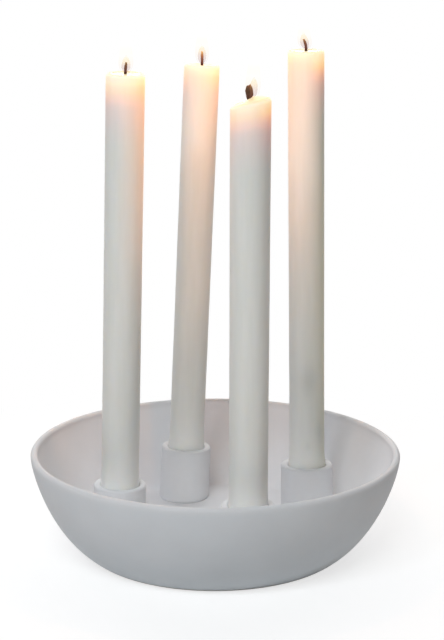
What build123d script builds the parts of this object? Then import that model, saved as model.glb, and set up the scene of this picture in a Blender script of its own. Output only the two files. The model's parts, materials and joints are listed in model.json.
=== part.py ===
from build123d import *
from math import cos, radians, sin, tan
from typing import NamedTuple
import os

# Advent candle holder: a round ceramic bowl with four candle cups set in a square on its floor.
# Each cup holds a dinner candle, a drawn wax stick on a cotton wick, that lifts out along its bore.
# Frame: millimetres, +Z up, origin on the table under the middle of the bowl, front towards -Y.

# Bowl
BOWL_DIAMETER = 224.4  # outside, at the lip
BOWL_HEIGHT = 61.0
LIP_THICKNESS = 4.2  # the lip is a half round
FLOOR_THICKNESS = 6.5
FLOOR_MARGIN = 1.6  # flat floor left outside the cups
FOOT_RECESS = 3.5  # hollow inside the foot ring
FOOT_RING_WIDTH = 9.0
FOOT_EDGE_ROUND = 3.0
FOOT_RING_ROUND = 1.0

# How far the wall's curves are pulled, as shares of the wall's own drop and flare
OUTER_LIP_PULL = 0.115
OUTER_FOOT_SPREAD = 0.71
OUTER_FOOT_RISE = 0.262
INNER_LIP_PULL = 0.21
INNER_FLOOR_SPREAD = 0.39

# Candles
NEW_CANDLE_LENGTH = 280.0
CANDLE_DIAMETER = 22.0
CANDLE_CLEARANCE = 1.1  # all round the candle in its bore
CANDLE_SEAT_GAP = 0.3  # under the candle
CANDLE_FOOT_CHAMFER = 1.0
CANDLE_TOP_ROUND = 1.0
MELT_RIM = 1.8  # wax left standing round the melt pool
MELT_DEPTH = 1.2

# Wicks
WICK_DIAMETER = 2.0
WICK_FIT = 0.05  # round the wick in the wax
WICK_STUB = 2.0  # upright stretch above the melt pool
WICK_TIP_ROUND = 0.6
WICK_TIP_LIMIT = 0.9  # of the wick's radius
CHAR_WIDTH = 4.7  # swollen crust on a wick that was not trimmed
CHAR_HEIGHT = 8.6

# Cups
CUP_CIRCLE_DIAMETER = 120.6  # through the middles of the four mouths
CUP_WALL = 3.9  # at the mouth
CUP_FLOOR = 9.1  # clay under the bore
CUP_LIP_FLAT = 0.5  # left between the lip's two rounds
CUP_FLARE = 0.6  # the foot is this much wider than the mouth, on each side
CUP_FOOT_TRIM = 3.0  # extra clay, cut off level so that a leaning cup stands flat
BORE_DEPTH = 25.5

UPRIGHT = (Align.CENTER, Align.CENTER, Align.MIN)


class Place(NamedTuple):
    """One cup with its candle and wick. Bearings are in degrees from +X towards +Y."""

    name: str
    bearing: float  # where the cup stands on the circle
    lean: float  # how far the hand-set cup leans, in degrees
    lean_bearing: float
    burned: float  # length gone from the candle
    top_slope: float  # how far the burned top slopes, in degrees
    top_bearing: float  # towards the high side
    wick_stand: float  # length of wick above the melt pool
    wick_bend: float  # how far the wick curls, in degrees
    wick_bearing: float
    charred: bool  # whether the wick carries a swollen crust


PLACES = [
    Place("front_left", bearing=225, lean=1.65, lean_bearing=10, burned=11.0, top_slope=1.0, top_bearing=200,
          wick_stand=8.3, wick_bend=9, wick_bearing=27, charred=False),
    Place("front_right", bearing=315, lean=1.0, lean_bearing=303, burned=20.0, top_slope=14.0, top_bearing=27,
          wick_stand=10.7, wick_bend=3, wick_bearing=207, charred=True),
    Place("back_right", bearing=45, lean=1.1, lean_bearing=161, burned=0.5, top_slope=1.0, top_bearing=30,
          wick_stand=8.5, wick_bend=22, wick_bearing=207, charred=False),
    Place("back_left", bearing=135, lean=2.55, lean_bearing=28, burned=10.0, top_slope=1.0, top_bearing=220,
          wick_stand=10.4, wick_bend=4, wick_bearing=27, charred=False),
]

candle_radius = CANDLE_DIAMETER / 2
wick_radius = WICK_DIAMETER / 2
bore_radius = candle_radius + CANDLE_CLEARANCE
mouth_radius = bore_radius + CUP_WALL
cup_circle_radius = CUP_CIRCLE_DIAMETER / 2
floor_radius = cup_circle_radius + mouth_radius + CUP_FLARE + FLOOR_MARGIN
foot_radius = floor_radius
floor_top = FOOT_RECESS + FLOOR_THICKNESS
cup_height = BORE_DEPTH + CUP_FLOOR


def turned(outline):
    """Spin a half section, drawn as radius and height, about the vertical axis."""
    return revolve(Plane.XZ * make_face(outline), Axis.Z)


def bowl():
    """The bowl: flat floor, flaring wall, half-round lip and a recessed foot."""
    rim = BOWL_DIAMETER / 2
    inner_rim = rim - LIP_THICKNESS
    wall_top = BOWL_HEIGHT - LIP_THICKNESS / 2
    drop = wall_top - floor_top
    flare = inner_rim - floor_radius
    inner_wall = Bezier(
        (floor_radius, floor_top),
        (floor_radius + INNER_FLOOR_SPREAD * flare, floor_top),
        (inner_rim, wall_top - INNER_LIP_PULL * drop),
        (inner_rim, wall_top),
    )
    lip = ThreePointArc((inner_rim, wall_top), (rim - LIP_THICKNESS / 2, BOWL_HEIGHT), (rim, wall_top))
    outer_wall = Bezier(
        (rim, wall_top),
        (rim, wall_top * (1 - OUTER_LIP_PULL)),
        (foot_radius + OUTER_FOOT_SPREAD * (rim - foot_radius), wall_top * OUTER_FOOT_RISE),
        (foot_radius, 0),
    )
    foot_and_floor = Polyline((foot_radius, 0), (0, 0), (0, floor_top), (floor_radius, floor_top))
    body = turned([inner_wall, lip, outer_wall, foot_and_floor])
    body = fillet(body.edges().group_by(Axis.Z)[0], FOOT_EDGE_ROUND)
    recess = Cylinder(foot_radius - FOOT_RING_WIDTH, FOOT_RECESS, align=UPRIGHT)
    body -= fillet(recess.edges().sort_by(Axis.Z)[-1], FOOT_RING_ROUND)
    ring_inside = body.edges().group_by(Axis.Z)[0].sort_by(SortBy.LENGTH)[0]
    return fillet(ring_inside, FOOT_RING_ROUND)


def stand(place):
    """Where a cup's mouth is: its middle on the circle, turned to the cup's own lean."""
    bearing = radians(place.bearing)
    middle = Pos(cup_circle_radius * cos(bearing), cup_circle_radius * sin(bearing), floor_top + cup_height)
    tip = Rot(Z=place.lean_bearing) * Rot(Y=place.lean) * Rot(Z=-place.lean_bearing)
    return middle * tip


def cup(place):
    """A candle cup with a blind bore and a rounded lip, cut off level at the bowl's floor."""
    length = cup_height + CUP_FOOT_TRIM
    foot = mouth_radius + CUP_FLARE * length / cup_height
    outline = Polyline(
        (0, -BORE_DEPTH),
        (bore_radius, -BORE_DEPTH),
        (bore_radius, 0),
        (mouth_radius, 0),
        (foot, -length),
        (0, -length),
        close=True,
    )
    body = turned(outline)
    lip_edges = body.edges().filter_by(GeomType.CIRCLE).group_by(Axis.Z)[-1]
    body = fillet(lip_edges, (CUP_WALL - CUP_LIP_FLAT) / 2)
    return split(stand(place) * body, bisect_by=Plane.XY.offset(floor_top), keep=Keep.TOP)


def candle_length(place):
    """What is left of the candle, up to the high side of its rim."""
    return NEW_CANDLE_LENGTH - place.burned


def melt_plane(place):
    """The plane of the candle's burned top, with its origin on the wick."""
    middle = candle_length(place) - candle_radius * tan(radians(place.top_slope))
    return Plane(Pos(0, 0, middle) * Rot(Z=place.top_bearing) * Rot(Y=-place.top_slope))


def seated(place):
    """Where a candle stands: on its own axis in the cup, just clear of the bore's floor."""
    return stand(place) * Pos(0, 0, CANDLE_SEAT_GAP - BORE_DEPTH)


def candle(place):
    """The wax: a round stick with a burned top, a shallow melt pool and a bore for the wick."""
    stick = Cylinder(candle_radius, NEW_CANDLE_LENGTH, align=UPRIGHT)
    stick = chamfer(stick.edges().sort_by(Axis.Z)[0], CANDLE_FOOT_CHAMFER)
    top = melt_plane(place)
    stick = split(stick, bisect_by=top, keep=Keep.BOTTOM)
    stick = fillet(stick.faces().sort_by(Axis.Z)[-1].edges(), CANDLE_TOP_ROUND)
    pool_radius = candle_radius - MELT_RIM
    ball_radius = (pool_radius**2 + MELT_DEPTH**2) / (2 * MELT_DEPTH)
    stick -= top.location * Pos(0, 0, ball_radius - MELT_DEPTH) * Sphere(ball_radius)
    stick -= Cylinder(wick_radius + WICK_FIT, NEW_CANDLE_LENGTH, align=UPRIGHT)
    return seated(place) * stick


def wick(place):
    """The wick: straight through the wax, with its burned end curling over."""
    straight = melt_plane(place).origin.Z - MELT_DEPTH + WICK_STUB
    curl_length = place.wick_stand - WICK_STUB
    curl = JernArc((0, straight), (0, 1), curl_length / radians(place.wick_bend), -place.wick_bend)
    path = Plane.XZ * (Line((0, 0), (0, straight)) + curl)
    cord = sweep(Circle(wick_radius), path=path)
    cord = fillet(cord.edges().sort_by(Axis.Z)[-1], min(WICK_TIP_ROUND, WICK_TIP_LIMIT * wick_radius))
    if place.charred:
        tip = path @ 1
        cord += Pos(tip.X, 0, tip.Z - CHAR_HEIGHT / 2) * crust()
    return seated(place) * Rot(Z=place.wick_bearing) * cord


def crust():
    """The egg of carbon that grows on a wick's end."""
    half_height = CHAR_HEIGHT / 2
    side = EllipticalCenterArc((0, 0), CHAR_WIDTH / 2, half_height, start_angle=-90, arc_size=180)
    return turned([side, Line((0, half_height), (0, -half_height))])


os.makedirs("parts", exist_ok=True)
export_step(bowl(), "parts/bowl.step")
for place in PLACES:
    export_step(cup(place), f"parts/cup_{place.name}.step")
    export_step(candle(place), f"parts/candle_{place.name}.step")
    export_step(wick(place), f"parts/wick_{place.name}.step")
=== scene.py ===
# %% [markdown]
# # A candle bowl for Advent
#
# The object is a round bowl of matte white ceramic. Four straight cups stand in a square on its floor,
# and each holds a white dinner candle that has burned down by its own amount.
#
# A CAD model of it is loaded first and is never moved: it says where every piece is, how large it is and
# along which line it moves. The lesson builds a finer mesh over each solid, gives it a finish made of
# shader nodes, and sets it in plain studio light. Lengths are in metres, +Z is up and the front is
# towards -Y.

import json
from math import atan2, ceil, cos, exp, pi, radians, sin, tan
from typing import NamedTuple

import bmesh
import bpy
from mathutils import Matrix, Vector, geometry, noise


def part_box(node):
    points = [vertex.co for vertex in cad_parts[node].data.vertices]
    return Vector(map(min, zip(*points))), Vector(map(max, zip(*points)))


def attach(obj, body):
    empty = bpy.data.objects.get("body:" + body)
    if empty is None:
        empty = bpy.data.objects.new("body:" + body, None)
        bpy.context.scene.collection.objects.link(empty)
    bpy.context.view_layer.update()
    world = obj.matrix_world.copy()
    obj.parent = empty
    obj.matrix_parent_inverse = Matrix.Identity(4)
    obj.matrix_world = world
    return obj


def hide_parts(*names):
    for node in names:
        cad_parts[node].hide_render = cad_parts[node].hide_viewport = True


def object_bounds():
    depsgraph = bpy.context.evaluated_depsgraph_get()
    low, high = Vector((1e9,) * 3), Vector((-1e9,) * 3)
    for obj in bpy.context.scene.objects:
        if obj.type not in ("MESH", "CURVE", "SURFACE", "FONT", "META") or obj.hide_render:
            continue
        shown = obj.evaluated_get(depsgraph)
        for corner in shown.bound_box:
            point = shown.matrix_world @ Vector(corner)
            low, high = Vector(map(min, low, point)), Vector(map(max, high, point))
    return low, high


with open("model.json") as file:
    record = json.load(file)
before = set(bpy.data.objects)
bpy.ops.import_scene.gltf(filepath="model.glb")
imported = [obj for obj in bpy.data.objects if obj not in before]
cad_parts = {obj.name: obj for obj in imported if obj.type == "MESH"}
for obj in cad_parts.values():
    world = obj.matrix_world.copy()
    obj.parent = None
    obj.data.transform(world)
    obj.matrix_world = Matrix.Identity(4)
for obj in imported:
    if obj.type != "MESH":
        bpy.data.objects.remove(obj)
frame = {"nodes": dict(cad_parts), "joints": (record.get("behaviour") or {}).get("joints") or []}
cad_low, cad_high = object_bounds()
scene = bpy.context.scene
MM = 0.001
print("CAD box in mm:", [round(side / MM, 1) for side in cad_high - cad_low])

# %% [markdown]
# ## Where the candles stand
#
# The cups were set by hand, so each leans a little in its own direction, and its candle leans with it.
# Typing the places in would work until the CAD model changes. Here they are read from the frame instead:
# a candle's joint gives its axis, the end of its wick gives the middle of its foot, and the solids give
# the heights along the axis. Each candle then gets a frame of its own, with its foot at the origin and
# its axis as Z.

# %% Measure the candles
UP = Vector((0, 0, 1))
END_SLICE = 0.1 * MM  # points this close to the wick's lower end belong to it


class Stand(NamedTuple):
    """One candle's own frame, and heights in it above the candle's foot."""

    place: Matrix
    mouth: float  # of the cup
    top: float  # high side of the candle's rim
    radius: float  # of the candle


def measure(name):
    """Read one candle's axis, foot and heights from the frame."""
    joint = next(j for j in frame["joints"] if j["name"] == f"candle_{name}_lift")
    axis = Vector(joint["axis"]).normalized()
    kinds = ("cup", "candle", "wick")
    cup, candle, wick = [frame["nodes"][f"{kind}_{name}"].data.vertices for kind in kinds]
    lowest = min(axis.dot(v.co) for v in wick)
    end = [v.co for v in wick if axis.dot(v.co) < lowest + END_SLICE]
    foot = Vector([(min(side) + max(side)) / 2 for side in zip(*end)])
    place = Matrix.Translation(foot) @ UP.rotation_difference(axis).to_matrix().to_4x4()
    inside = place.inverted()
    points = [inside @ v.co for v in candle]
    mouth = max((inside @ v.co).z for v in cup)
    return Stand(place, mouth, max(p.z for p in points), max(p.xy.length for p in points))


stands = {name: measure(name) for name in ("front_left", "front_right", "back_right", "back_left")}
for name, stand in stands.items():
    heights = [round(size / MM, 1) for size in (stand.mouth, stand.top, stand.radius)]
    print(f"{name}: mouth, top and radius in mm are", heights)

# %% [markdown]
# ## The camera
#
# The picture was taken with a long lens from a little above the candles' middle, from the right of the
# front. The lens is given as a focal length on a frame 36 mm tall. A wide lens from closer by would fill
# the picture as well, but it would spread the four candles apart and show more of the bowl's floor.

# %% Camera
CAMERA_BEARING = radians(26.74)  # to the right of the front
CAMERA_DISTANCE = 0.878  # from the bowl's axis
CAMERA_HEIGHT = 0.3358
CAMERA_TILT = radians(12.53)  # down
CAMERA_SWING = radians(0.264)  # to the right
FILM_HEIGHT = 36
LENS = 84.375

camera = bpy.data.objects.new("Camera", bpy.data.cameras.new("Camera"))
scene.collection.objects.link(camera)
scene.camera = camera
camera.data.sensor_fit = "VERTICAL"
camera.data.sensor_height = FILM_HEIGHT
camera.data.lens = LENS
RIGHT = Vector((cos(CAMERA_BEARING), sin(CAMERA_BEARING), 0))
NEAR = Vector((sin(CAMERA_BEARING), -cos(CAMERA_BEARING), 0))
camera.location = NEAR * CAMERA_DISTANCE + UP * CAMERA_HEIGHT
camera.rotation_euler = (pi / 2 - CAMERA_TILT, 0, CAMERA_BEARING - CAMERA_SWING)
scene.view_settings.view_transform = "Standard"
print("camera at", [round(x, 3) for x in camera.location])

# %% [markdown]
# ## Shader nodes in a few words
#
# A finish is a small network of nodes. Written out in full, each node takes three or four lines, so one
# helper adds a node and sets or links its inputs, a second lays colours along a ramp, and a third starts
# a finish with its Principled shader.

# %% Node helpers
def add_node(tree, kind, inputs=None, **settings):
    """Add a shader node. An input given as a socket is linked, and any other value is set."""
    made = tree.nodes.new("ShaderNode" + kind)
    for key, value in settings.items():
        setattr(made, key, value)
    for key, value in (inputs or {}).items():
        if isinstance(value, bpy.types.NodeSocket):
            tree.links.new(value, made.inputs[key])
        else:
            made.inputs[key].default_value = value
    return made


def add_ramp(tree, factor, stops):
    """Add a colour ramp. Stops are (position, colour) pairs."""
    made = add_node(tree, "ValToRGB", {"Fac": factor})
    elements = made.color_ramp.elements
    while len(elements) < len(stops):
        elements.new(1)
    for element, (position, colour) in zip(elements, stops):
        element.position = position
        element.color = colour
    return made.outputs


def new_finish(name, constants):
    """A material with its Principled shader, and constants set on the shader's own sockets."""
    material = bpy.data.materials.new(name)
    material.use_nodes = True
    shader = material.node_tree.nodes["Principled BSDF"]
    for key, value in constants.items():
        shader.inputs[key].default_value = value
    return material, material.node_tree, shader


print("node helpers:", [helper.__name__ for helper in (add_node, add_ramp, new_finish)])

# %% [markdown]
# ## Sums with nodes
#
# Tone and gloss differ from place to place on a real surface. In a material that is arithmetic: a value
# is read from the mesh, moved from one range to another, and used to blend two colours. A script node
# could hold a whole formula, but its inside doesn't show in the node editor, so the sums are made of
# plain nodes.

# %% Node sums
def blend(tree, factor, first, second):
    """The colour that goes from the first to the second as the factor goes from 0 to 1."""
    return add_node(tree, "Mix", {0: factor, 6: first, 7: second}, data_type="RGBA").outputs[2]


def calculate(tree, operation, first, second):
    """The result of one sum on two values."""
    return add_node(tree, "Math", {0: first, 1: second}, operation=operation).outputs[0]


def remap(tree, value, old, new=(0, 1), way="LINEAR"):
    """A value moved from one range to another, and held within it."""
    inputs = {0: value, 1: old[0], 2: old[1], 3: new[0], 4: new[1]}
    return add_node(tree, "MapRange", inputs, interpolation_type=way).outputs[0]


def stored(tree, name):
    """A value that was painted on the mesh."""
    return add_node(tree, "Attribute", attribute_name=name).outputs["Fac"]


print("node sums:", [helper.__name__ for helper in (blend, calculate, remap, stored)])

# %% [markdown]
# ## White all round
#
# The picture's background is plain white. A bright world would give that, but it would also light the
# object from every side and wash out its form. The light path tells a shader which kind of ray is asking,
# so the world is white to rays that show it, directly or mirrored. As light it is only the little that a
# room's walls give back.

# %% World
WALL_LIGHT = (0.02, 0.02, 0.02, 1)
WHITE = (1, 1, 1, 1)


def seen_rays(tree):
    """1 for rays that show a surface, also mirrored or through glass, and 0 for rays that carry light."""
    path = add_node(tree, "LightPath").outputs
    mirrored = calculate(tree, "MAXIMUM", path["Is Camera Ray"], path["Is Glossy Ray"])
    return calculate(tree, "MAXIMUM", mirrored, path["Is Transmission Ray"])


world = bpy.data.worlds.new("Pale walls")
scene.world = world
world.use_nodes = True
tree = world.node_tree
tree.links.new(blend(tree, seen_rays(tree), WALL_LIGHT, WHITE), tree.nodes["Background"].inputs["Color"])
print("world:", world.name)

# %% [markdown]
# ## Studio light
#
# The bowl stood before a large white sheet, which lights it softly from behind and above. A lamp in
# front, almost over the camera, fills the bowl, and a smaller, cooler one to the left of it, like a
# window, draws the candles' shadows on the bowl's wall. A single sun lamp would be simpler, but its
# shadows are hard. These are area lamps: the larger one is, the softer its light.

# %% Lamps
LAMP_DISTANCE = 1.6


def add_lamp(name, bearing, rise, size, watts, tint):
    """A lamp that faces the object's middle and isn't seen. Its degrees are from the camera's side."""
    round_way, above = radians(bearing), radians(rise)
    level = NEAR * cos(round_way) - RIGHT * sin(round_way)
    direction = level * cos(above) + UP * sin(above)
    lamp = bpy.data.objects.new(name, bpy.data.lights.new(name, "AREA"))
    lamp.data.shape = "RECTANGLE"
    lamp.data.size, lamp.data.size_y = size
    lamp.data.energy = watts
    lamp.data.color = tint
    lamp.location = (cad_low + cad_high) / 2 + direction * LAMP_DISTANCE
    lamp.rotation_euler = direction.to_track_quat("Z", "Y").to_euler()
    lamp.visible_camera = False
    scene.collection.objects.link(lamp)


add_lamp("White sheet", bearing=180, rise=35, size=(3, 2), watts=31.5, tint=(1, 0.95, 0.935))
add_lamp("Front lamp", bearing=10, rise=45, size=(0.6, 0.6), watts=11.5, tint=(0.935, 0.985, 1))
add_lamp("Window lamp", bearing=35, rise=40, size=(0.25, 0.25), watts=5.9, tint=(0.83, 0.905, 1))

# %% [markdown]
# ## The floor
#
# The floor is a pale sheet with no edge in sight. A plain white material would come out grey where it is
# further from the lamp. Here the camera sees mostly white with a thin share of the lit surface, enough to
# keep the soft shadow under the bowl, and that share fades out with distance. Light that bounces still
# meets a pale matte floor.

# %% Floor
FLOOR_HALF_WIDTH = 4
FLOOR_COLOUR = (0.86, 0.865, 0.86, 1)
SHADOW_COLOUR = (0.36, 0.36, 0.36, 1)  # how much of the lit surface the camera sees
SHADOW_FADE = (0.1, 0.34)  # distances from and to which the shadow fades out
FLOOR_GLOW = 0.72


def floor_material():
    """White to the camera with a soft shadow near the middle, and pale and matte to the light."""
    material = bpy.data.materials.new("Pale floor")
    material.use_nodes = True
    tree = material.node_tree
    tree.nodes.clear()
    place = add_node(tree, "TexCoord").outputs["Object"]
    distance = add_node(tree, "VectorMath", {0: place}, operation="LENGTH").outputs["Value"]
    fade = remap(tree, distance, SHADOW_FADE, way="SMOOTHSTEP")
    matte = add_node(tree, "BsdfDiffuse", {"Color": FLOOR_COLOUR}).outputs[0]
    thin = add_node(tree, "BsdfDiffuse", {"Color": SHADOW_COLOUR}).outputs[0]
    glow = add_node(tree, "Emission", {"Strength": FLOOR_GLOW}).outputs[0]
    white = add_node(tree, "Emission", {"Strength": 1}).outputs[0]
    shadowed = add_node(tree, "AddShader", {0: thin, 1: glow}).outputs[0]
    seen = add_node(tree, "MixShader", {0: fade, 1: shadowed, 2: white}).outputs[0]
    both = add_node(tree, "MixShader", {0: seen_rays(tree), 1: matte, 2: seen}).outputs[0]
    add_node(tree, "OutputMaterial", {"Surface": both})
    return material


square = ((-1, -1), (1, -1), (1, 1), (-1, 1))
corners = [(x * FLOOR_HALF_WIDTH, y * FLOOR_HALF_WIDTH, 0) for x, y in square]
floor_mesh = bpy.data.meshes.new("Floor")
floor_mesh.from_pydata(corners, [], [(0, 1, 2, 3)])
floor_mesh.materials.append(floor_material())
floor = bpy.data.objects.new("Floor", floor_mesh)
scene.collection.objects.link(floor)
print("floor", 2 * FLOOR_HALF_WIDTH, "m across")

# %% [markdown]
# ## Outlines
#
# The bowl was turned, the cups were cast round, the candles were drawn and the wicks braided. All of
# these are round things, so each starts as an outline of radius and height. A smooth curve could hold a
# whole outline, but a few straight runs say the sizes more plainly. Corners are rounded, because no fired
# or melted edge is sharp, and long runs are divided so that the mesh stays even.

# %% Outlines
CIRCLE_HANDLE = 0.55  # share of the way to the corner at which handles make a Bezier curve nearly round
CORNER_STEPS = 6


def outline(*points):
    """Corner points of an outline, given as (radius, height)."""
    return [Vector(point) for point in points]


def rounded(corners, cuts):
    """A line through corners, with each inner corner cut back by its own length and rounded."""
    made = [corners[0]]
    for before, corner, after, cut in zip(corners, corners[1:], corners[2:], cuts):
        first = corner + (before - corner).normalized() * cut
        last = corner + (after - corner).normalized() * cut
        handles = first.lerp(corner, CIRCLE_HANDLE), last.lerp(corner, CIRCLE_HANDLE)
        made += geometry.interpolate_bezier(first, *handles, last, CORNER_STEPS)
    return made + [corners[-1]]


def spaced(line, step):
    """The same line with extra points, so that no run is longer than a step."""
    made = [line[0]]
    for first, last in zip(line, line[1:]):
        parts = ceil((last - first).length / step)
        made += [first.lerp(last, (k + 1) / parts) for k in range(parts)]
    return made


print("an outline of 3 corners becomes", len(rounded(outline((0, 0), (1, 0), (1, 1)), [0.2])), "points")

# %% [markdown]
# ## Skins over rings
#
# An outline becomes a stack of rings, and a skin over the rings becomes the piece. Blender's Screw
# modifier would spin an outline too, but only about one straight axis and only into true circles. With
# rings in code, a lip can dip, a candle can burn down on one side and a wick can curl.

# %% Rings and skins
def circle(radius, height, sides):
    """A level ring of points round the Z axis."""
    bearings = [2 * pi * k / sides for k in range(sides)]
    return [Vector((radius * cos(b), radius * sin(b), height)) for b in bearings]


def shell(rings, loop=False):
    """Points and faces of the skin over a stack of rings. Unless it is a loop, fans close its two ends."""
    sides = len(rings[0])
    points = [point for ring in rings for point in ring]
    faces = []
    for level in range(len(rings) if loop else len(rings) - 1):
        low = level * sides
        high = (level + 1) % len(rings) * sides
        for k in range(sides):
            beside = (k + 1) % sides
            faces.append((low + k, low + beside, high + beside, high + k))
    if loop:
        return points, faces
    for ring, start in ((rings[0], 0), (rings[-1], (len(rings) - 1) * sides)):
        points.append(sum(ring, Vector()) / sides)
        faces += [(start + k, start + (k + 1) % sides, len(points) - 1) for k in range(sides)]
    return points, faces


print("a skin over two rings of 8 has", len(shell([circle(1, 0, 8), circle(1, 1, 8)])[1]), "faces")

# %% [markdown]
# ## From skins to pieces
#
# A piece can have several skins: a wick is a cord, three strands and sometimes a crust. Finished objects
# could be joined afterwards, but one mesh made in one go keeps its points in a known order. Values that a
# finish needs to know, such as how deep a point lies below the flame, are painted on the points, so they
# stay with the piece as it moves.

# %% Pieces
def make_piece(name, shells, materials, place=Matrix()):
    """One object from one or more shells. They take the materials in order, and share the last one."""
    points, faces, slots = [], [], []
    for number, (shell_points, shell_faces) in enumerate(shells):
        faces += [[corner + len(points) for corner in face] for face in shell_faces]
        points += shell_points
        slots += [min(number, len(materials) - 1)] * len(shell_faces)
    mesh = bpy.data.meshes.new(name)
    mesh.from_pydata(points, [], faces)
    for material in materials:
        mesh.materials.append(material)
    mesh.polygons.foreach_set("material_index", slots)
    work = bmesh.new()
    work.from_mesh(mesh)
    bmesh.ops.recalc_face_normals(work, faces=work.faces)
    work.to_mesh(mesh)
    work.free()
    mesh.shade_smooth()
    piece = bpy.data.objects.new(name, mesh)
    piece.matrix_world = place
    scene.collection.objects.link(piece)
    print(f"{name}: {len(mesh.vertices)} points, {len(mesh.polygons)} faces")
    return piece


def store(piece, name, values):
    """Keep one value for every point of a piece, for a material to read."""
    piece.data.attributes.new(name, "FLOAT", "POINT").data.foreach_set("value", values)


def paint(piece, name, value):
    """Keep a value for every point of a piece, worked out from the point's place."""
    store(piece, name, [value(v.co) for v in piece.data.vertices])


def limited(value):
    """A value held between 0 and 1."""
    return min(1, max(0, value))


print("values are held between 0 and 1:", [limited(value) for value in (-0.5, 0.5, 1.5)])

# %% [markdown]
# ## Soft clouds of tone
#
# Clay, wax and soot are never one flat colour: their tone drifts a little from place to place. A painted
# image could hold that, but noise in the object's own coordinates needs no unwrapping and stays sharp
# close up. Three finishes need the effect, so it is a node group: it is built once, and every finish
# places it with its own sizes and colours.

# %% Soft clouds
CLOUD_EDGES = (0.3, 0.7)  # noise values that count as all dark and all light


def new_group(name, inputs, outputs):
    """A node group with its sockets. Inputs are (name, kind, value) and outputs are (name, kind)."""
    group = bpy.data.node_groups.new(name, "ShaderNodeTree")
    for label, kind, value in inputs:
        socket = group.interface.new_socket(label, in_out="INPUT", socket_type="NodeSocket" + kind)
        socket.default_value = value
    for label, kind in outputs:
        group.interface.new_socket(label, in_out="OUTPUT", socket_type="NodeSocket" + kind)
    entry = group.nodes.new("NodeGroupInput").outputs
    return group, entry, group.nodes.new("NodeGroupOutput").inputs


def cloud_group():
    """A soft drift between two colours. Stretch lengthens the clouds along the piece's own Z."""
    colours = [("Light", "Color", WHITE), ("Dark", "Color", WHITE)]
    inputs = colours + [("Size", "Float", 10 * MM), ("Stretch", "Float", 1)]
    group, entry, result = new_group("Soft clouds", inputs, [("Color", "Color")])
    place = add_node(group, "TexCoord").outputs["Object"]
    shrink = calculate(group, "DIVIDE", 1, entry["Stretch"])
    squeeze = add_node(group, "CombineXYZ", {"X": 1, "Y": 1, "Z": shrink}).outputs[0]
    place = add_node(group, "VectorMath", {0: place, 1: squeeze}, operation="MULTIPLY").outputs[0]
    look = {"Scale": calculate(group, "DIVIDE", 1, entry["Size"]), "Detail": 3, "Roughness": 0.55}
    drift = add_node(group, "TexNoise", {"Vector": place} | look).outputs[0]
    mask = remap(group, drift, CLOUD_EDGES, way="SMOOTHSTEP")
    group.links.new(blend(group, mask, entry["Dark"], entry["Light"]), result["Color"])
    return group


soft_clouds = cloud_group()
print("group:", soft_clouds.name)

# %% [markdown]
# ## Fine grain
#
# Close up, fired clay looks like plaster, wax is faintly mottled and char is crumbly. Modelling such
# grain would take millions of faces. A second node group gives it as a height, which a bump node turns
# into tiny slopes, and as a roughness, so that the gloss is uneven too.

# %% Fine grain
GRAIN_EDGES = (0.25, 0.75)  # noise values that count as smoothest and roughest


def grain_group():
    """A fine grain, as a height for bump and as a roughness between two limits."""
    inputs = [("Size", "Float", 0.5 * MM), ("Smooth", "Float", 0.4), ("Rough", "Float", 0.6)]
    group, entry, result = new_group("Fine grain", inputs, [("Height", "Float"), ("Roughness", "Float")])
    place = add_node(group, "TexCoord").outputs["Object"]
    look = {"Scale": calculate(group, "DIVIDE", 1, entry["Size"]), "Detail": 4, "Roughness": 0.6}
    speckle = add_node(group, "TexNoise", {"Vector": place} | look).outputs[0]
    rough = remap(group, speckle, GRAIN_EDGES, (entry["Smooth"], entry["Rough"]))
    group.links.new(speckle, result["Height"])
    group.links.new(rough, result["Roughness"])
    return group


def use_group(tree, group, inputs):
    """Place a node group in a material with its own values."""
    made = tree.nodes.new("ShaderNodeGroup")
    made.node_tree = group
    for key, value in inputs.items():
        made.inputs[key].default_value = value
    return made.outputs


fine_grain = grain_group()
print("groups:", [group.name for group in bpy.data.node_groups])

# %% [markdown]
# ## Matte ceramic
#
# The clay is white and fired without a shiny glaze. Light spreads evenly over it, and what shows up close
# is a grain like fine plaster, faint lines left by the turning tool and a very slight drift of tone. The
# bowl's outside is painted greyer and bluer as painted shade, most where its wall stands upright. The lips
# are painted a shade darker as painted shade, against the light from above, and the foot ring was wiped
# bare before firing. Separate materials would meet in hard seams, so one material blends the tones, by
# values that are painted on the mesh and, at the foot, by height. The turning lines are noise that changes
# only with height, so they run level round the bowl.

# %% Ceramic finish
CLAY_LIGHT = (0.77, 0.77, 0.782, 1)
CLAY_DARK = (0.745, 0.746, 0.759, 1)
# painted shade: the outer wall's tones, greyer and bluer than the clay inside
OUTER_SHADE_LIGHT = (0.64, 0.665, 0.685, 1)
OUTER_SHADE_DARK = (0.62, 0.644, 0.664, 1)
# painted shade: the lips are painted darker against the light from above that falls on them
LIP_SHADE_COLOUR = (0.69, 0.69, 0.695, 1)
BARE_CLAY = (0.66, 0.63, 0.58, 1)
BARE_EDGE = (1.2 * MM, 1.8 * MM)  # heights between which the bare clay ends
CLAY_CLOUD = 26 * MM
CLAY_GRAIN = 0.45 * MM
TURNING_STEP = 1.6 * MM
TURNING_DEPTH = 0.05 * MM


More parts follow.
